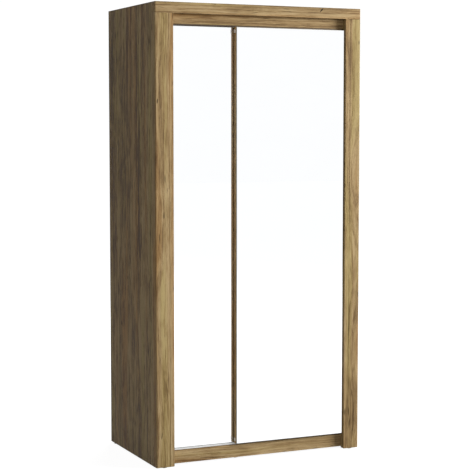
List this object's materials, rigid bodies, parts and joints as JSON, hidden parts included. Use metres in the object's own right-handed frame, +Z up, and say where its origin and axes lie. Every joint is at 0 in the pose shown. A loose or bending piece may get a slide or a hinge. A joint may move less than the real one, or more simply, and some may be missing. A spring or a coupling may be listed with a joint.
{
  "type": "sliding door wardrobe",
  "caption": "Tall oak-look wardrobe with a heavy front frame, mirrored sliding doors on grooved wheels, shelves, hat shelf and a hanging rail.",
  "frame": {"origin": "centre of the footprint at floor level", "axes": "+Z up, +X to the right seen from the front, the doors face -Y"},
  "size_m": [1.04, 0.62, 2.1],
  "materials": {
    "oak_frame": "aged oak decor, matt, grain along each piece",
    "oak_side": "aged oak decor, matt, upright grain",
    "door_board": "oak decor board with banded edges",
    "carcass_board": "light oak decor board, matt",
    "hardboard": "thin printed hardboard, matt",
    "mirror_glass": "clear silvered mirror with ground edges",
    "felt_pad": "pale soft pad",
    "steel_tube": "bright plated tube",
    "steel_fitting": "zinc plated, satin",
    "bright_rail": "satin clear anodised",
    "dark_rail": "dark bronze anodised",
    "rubber_stop": "black rubber",
    "nylon": "natural white nylon"
  },
  "bodies": {
    "carcass": {"front_post_left": "oak_frame", "front_post_right": "oak_frame", "top_front_rail": "oak_frame", "fascia": "oak_frame", "plinth_front": "oak_frame", "side_panel_left": "oak_side", "side_panel_right": "oak_side", "top_panel": "carcass_board", "bottom_panel": "carcass_board", "header_board": "carcass_board", "partition": "carcass_board", "plinth_rear": "carcass_board", "middle_bearer": "carcass_board", "back_panel_left": "hardboard", "back_panel_right": "hardboard", "hat_shelf_left": "carcass_board", "hat_shelf_right": "carcass_board", "shelf_1": "carcass_board", "shelf_2": "carcass_board", "shelf_3": "carcass_board", "shelf_4": "carcass_board", "hanging_rail": "steel_tube", "rail_socket_left": "steel_fitting", "rail_socket_right": "steel_fitting", "running_rail": "bright_rail", "guide_rail": "dark_rail", "track_stop_left": "rubber_stop", "track_stop_right": "rubber_stop", "glide_post_left": "nylon", "glide_post_right": "nylon", "glide_rear_left": "nylon", "glide_rear_right": "nylon", "glide_bearer_front": "nylon", "glide_bearer_rear": "nylon", "wall_bracket_left": "steel_fitting", "wall_bracket_right": "steel_fitting"},
    "rear_door": {"rear_door_board": "door_board", "rear_door_mirror": "mirror_glass", "rear_left_roller_plate": "steel_fitting", "rear_right_roller_plate": "steel_fitting", "rear_left_axle": "steel_fitting", "rear_right_axle": "steel_fitting", "rear_guide_left": "nylon", "rear_guide_right": "nylon"},
    "front_door": {"front_door_board": "door_board", "front_door_mirror": "mirror_glass", "front_left_roller_plate": "steel_fitting", "front_right_roller_plate": "steel_fitting", "front_left_axle": "steel_fitting", "front_right_axle": "steel_fitting", "front_guide_left": "nylon", "front_guide_right": "nylon", "edge_pad_top": "felt_pad", "edge_pad_bottom": "felt_pad"},
    "rear_wheel_left": {"rear_left_wheel": "nylon"},
    "rear_wheel_right": {"rear_right_wheel": "nylon"},
    "front_wheel_left": {"front_left_wheel": "nylon"},
    "front_wheel_right": {"front_right_wheel": "nylon"}
  },
  "joints": [
    {"name": "rear_door_slide", "type": "slide", "parent": "carcass", "child": "rear_door", "axis": [1, 0, 0], "range_m": [0, 0.34]},
    {"name": "front_door_slide", "type": "slide", "parent": "carcass", "child": "front_door", "axis": [1, 0, 0], "range_m": [-0.305, 0]},
    {"name": "rear_wheel_left_spin", "type": "hinge", "parent": "rear_door", "child": "rear_wheel_left", "pos_m": [-0.388, -0.2453, 0.0898], "axis": [0, 1, 0], "continuous": true},
    {"name": "rear_wheel_right_spin", "type": "hinge", "parent": "rear_door", "child": "rear_wheel_right", "pos_m": [-0.16, -0.2453, 0.0898], "axis": [0, 1, 0], "continuous": true},
    {"name": "front_wheel_left_spin", "type": "hinge", "parent": "front_door", "child": "front_wheel_left", "pos_m": [-0.051, -0.2753, 0.0898], "axis": [0, 1, 0], "continuous": true},
    {"name": "front_wheel_right_spin", "type": "hinge", "parent": "front_door", "child": "front_wheel_right", "pos_m": [0.37, -0.2753, 0.0898], "axis": [0, 1, 0], "continuous": true}
  ],
  "couplings": [
    {"joint": "rear_wheel_left_spin", "follows": "rear_door_slide", "rad_per_m": 100},
    {"joint": "rear_wheel_right_spin", "follows": "rear_door_slide", "rad_per_m": 100},
    {"joint": "front_wheel_left_spin", "follows": "front_door_slide", "rad_per_m": 100},
    {"joint": "front_wheel_right_spin", "follows": "front_door_slide", "rad_per_m": 100}
  ]
}
